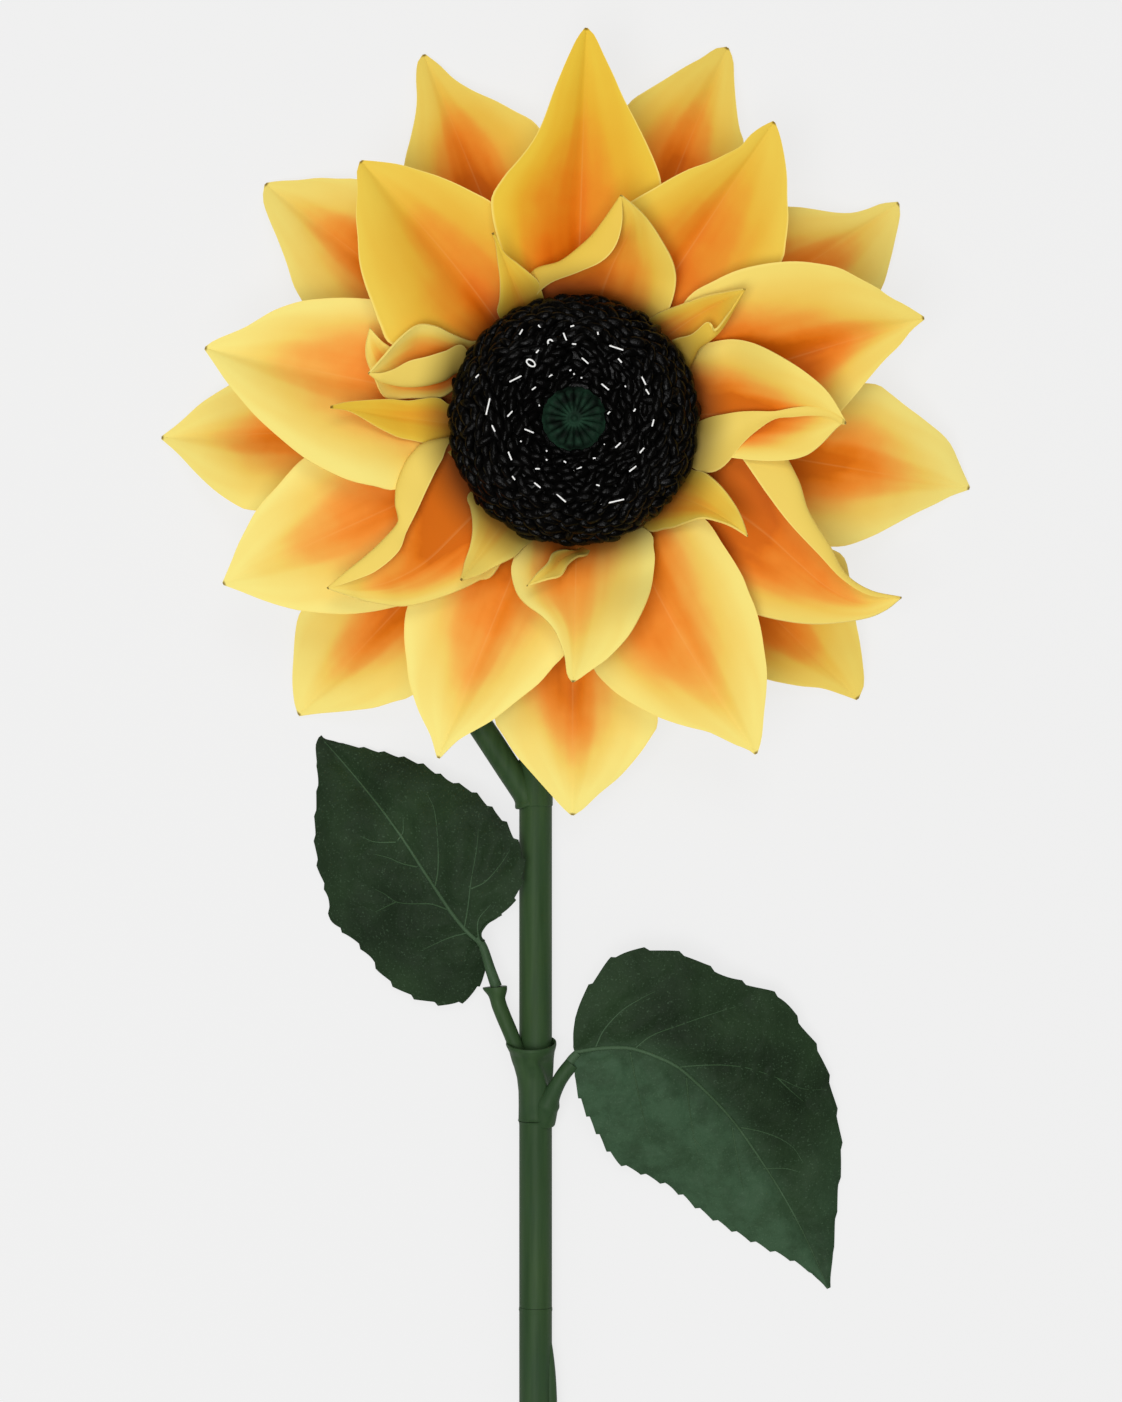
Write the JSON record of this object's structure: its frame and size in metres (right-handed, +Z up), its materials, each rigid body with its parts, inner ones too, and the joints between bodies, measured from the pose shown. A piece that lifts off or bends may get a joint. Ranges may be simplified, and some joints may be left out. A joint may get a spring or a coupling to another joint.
{
  "type": "artificial cut sunflower",
  "caption": "Artificial cut sunflower lying flat, with layered yellow foam petals, a black seed head with a green rosette, a green stem and toothed leaves.",
  "frame": {"origin": "middle of the flower's box, on the surface that it lies on", "axes": "+Z up through the face of the bloom, +Y from the stem's cut end towards the bloom, +X to the right of the bloom with its stem towards the viewer"},
  "size_m": [0.4592, 0.8854, 0.1048],
  "materials": {
    "petal_foam": "matte foam sheet, yellow with a sprayed orange middle",
    "leaf_fabric": "matte pressed cloth, dark green",
    "stem_plastic": "satin moulded plastic, green",
    "seed_black": "glossy black scales",
    "rosette_green": "satin, dark green pleats",
    "wire_steel": "plain drawn wire"
  },
  "bodies": {
    "root": {"back_petal_1": "petal_foam", "back_petal_2": "petal_foam", "back_petal_3": "petal_foam", "back_petal_4": "petal_foam", "back_petal_5": "petal_foam", "back_petal_6": "petal_foam", "back_petal_7": "petal_foam", "back_petal_8": "petal_foam", "back_petal_9": "petal_foam", "middle_petal_1": "petal_foam", "middle_petal_2": "petal_foam", "middle_petal_3": "petal_foam", "middle_petal_4": "petal_foam", "middle_petal_5": "petal_foam", "middle_petal_6": "petal_foam", "middle_petal_7": "petal_foam", "middle_petal_8": "petal_foam", "middle_petal_9": "petal_foam", "inner_petal_1": "petal_foam", "inner_petal_2": "petal_foam", "inner_petal_3": "petal_foam", "inner_petal_4": "petal_foam", "inner_petal_5": "petal_foam", "inner_petal_6": "petal_foam", "inner_petal_7": "petal_foam", "inner_petal_8": "petal_foam", "inner_petal_9": "petal_foam", "inner_petal_10": "petal_foam", "inner_petal_11": "petal_foam", "seed_head": "seed_black", "rosette": "rosette_green", "receptacle": "stem_plastic", "calyx": "stem_plastic", "stem_neck": "stem_plastic", "stem_upper": "stem_plastic", "leaf_node": "stem_plastic", "stem_middle": "stem_plastic", "stem_lower": "stem_plastic", "stem_wire": "wire_steel", "left_leaf": "leaf_fabric", "right_leaf": "leaf_fabric"}
  },
  "joints": []
}
